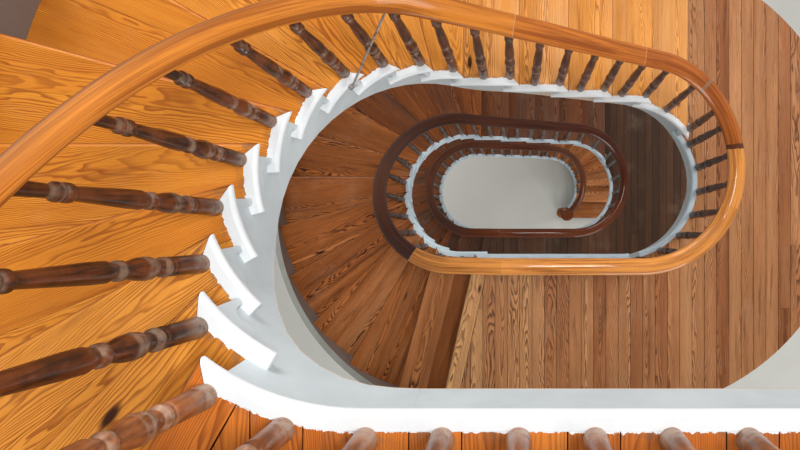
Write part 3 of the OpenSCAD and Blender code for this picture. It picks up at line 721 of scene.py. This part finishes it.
# Painted shade: the lower flights' strips take a bluish grey copy of the white paint, for the shade deep in the well
low_white_painted_shade = painted("worn white paint, lower flights", linear(196, 210, 218), linear(180, 194, 202),
                   linear(176, 156, 140), 0.80)
bare_wood = linear(216, 206, 196)
pale_grey = painted("pale grey paint", linear(198, 206, 209), linear(186, 194, 197), bare_wood, 0.80,
                    tan_lower_edge=True)
bracket_grey = painted("pale grey paint, brackets", linear(204, 211, 214), linear(186, 194, 197), bare_wood, 0.80)
wall_grey = moulded_paint("wall string paint", linear(152, 154, 146), linear(118, 104, 96), linear(96, 96, 90))
riser_grey = painted("riser paint", linear(206, 207, 206), linear(178, 178, 176), linear(150, 130, 116), 0.74)
lime = painted("plaster", linear(212, 208, 200), linear(192, 186, 176), linear(170, 160, 148), 0.80, 0.85)
raw_pine = painted("rough pine joists", linear(150, 112, 78), linear(112, 80, 54), linear(84, 58, 40), 0.66, 0.8)

rises = {1: 0.160, 2: 0.180, 3: 0.200}
board_widths = {1: 0.077, 2: 0.077, 3: 0.090}
missing = {1: (), 2: (0.122, 0.258), 3: ()}     # turns at the right end between which the landing's strip is broken
for k in STOREYS:
    strip_paint, baluster_wood = (white, turned) if k == 3 else (low_white_painted_shade, low_turned_painted_shade)
    strips = nosing_strips(f"return_nosings_{k}", False, strip_paint)
    edges = nosing_strips(f"landing_nosing_{k}", True, strip_paint, missing[k])
    tread_boards(k, strips, shades[k], top_pine if k == 3 else low_pine_painted_shade)
    floor_boards(k, min(start for start, end, top in edges), board_widths[k], floors[k])
    brackets(k, strips, rises[k], bracket_grey)
    rail_piece(f"flight_rail_{k}", False, f"flight_handrail_{k}", flight_rails[k])
    rail_piece(f"landing_rail_{k}", True, f"landing_handrail_{k}", brown_rail if k == 1 else orange_rail)
    turned_piece(f"flight_balusters_{k}", baluster_wood)
    turned_piece(f"landing_balusters_{k}", pale_turned if k == 3 else low_turned_painted_shade)
    string_piece(f"cut_string_{k}", pale_grey)
    string_piece(f"landing_fascia_{k}", pale_grey)
    for name, material in (("risers", riser_grey), ("wall_string", wall_grey), ("plaster", lime),
                           ("landing_joists", raw_pine)):
        dress(f"{name}_{k}", material)
dress("newel_post", post_wood)
dress("newel_cap", brown_rail)
dress("brace_rod", iron("rubbed iron"))


# Floor, light and camera
def ground():
    """Pale floor under the stair."""
    mesh = bpy.data.meshes.new("floor")
    bm = bmesh.new()
    bmesh.ops.create_grid(bm, x_segments=1, y_segments=1, size=30)
    bm.to_mesh(mesh)
    bm.free()
    floor = bpy.data.objects.new("floor", mesh)
    bpy.context.scene.collection.objects.link(floor)
    material, tree, shader = finish("pale floor", 0.9)
    shade = noise(tree, object_place(tree), 2.0, 4.0)
    tree.links.new(mix(tree, shade, linear(208, 207, 200), linear(198, 196, 188)), shader.inputs["Base Color"])
    mesh.materials.append(material)


def lamp(name, place, aim, size, power):
    """Square soft lamp."""
    data = bpy.data.lights.new(name, "AREA")
    data.size = size
    data.energy = power
    light = bpy.data.objects.new(name, data)
    light.location = place
    light.rotation_euler = (aim - place).to_track_quat("-Z", "Y").to_euler()
    bpy.context.scene.collection.objects.link(light)


ground()
top_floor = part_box("landing_boards_3")[1].z
above = CENTRE + Vector((0, 0, top_floor))
lamp("soft lamp above", above + Vector((0.8, 0.2, 4.2)), above, 1.3, 175)
below = above - 1.5 * UP
lamp("soft lamp aside", above + Vector((7, 3, 2.5)), below, 5.0, 430)
lamp("soft lamp behind", above + Vector((-3, 8, 2.0)), below, 5.0, 600)
lamp("soft lamp in front", CENTRE + Vector((4, -9, 7)), CENTRE + Vector((0, 0, 5)), 5.0, 460)
world = bpy.data.worlds.new("studio")
world.use_nodes = True
bpy.context.scene.world = world
back = world.node_tree.nodes["Background"]
back.inputs["Color"].default_value = (0.93, 0.93, 0.93, 1)
back.inputs["Strength"].default_value = 0.47

camera_data = bpy.data.cameras.new("camera")
camera = bpy.data.objects.new("camera", camera_data)
bpy.context.scene.collection.objects.link(camera)
camera_data.sensor_width = 36
camera_data.lens = 31.608
camera_data.shift_x = -0.122875
camera_data.shift_y = -0.037125
camera_data.clip_start = 0.01
camera_data.clip_end = 80
camera.location = CENTRE + Vector((-0.2619, -0.08235, top_floor + 1.1934))
bpy.context.scene.camera = camera
bpy.context.scene.view_settings.view_transform = "Standard"
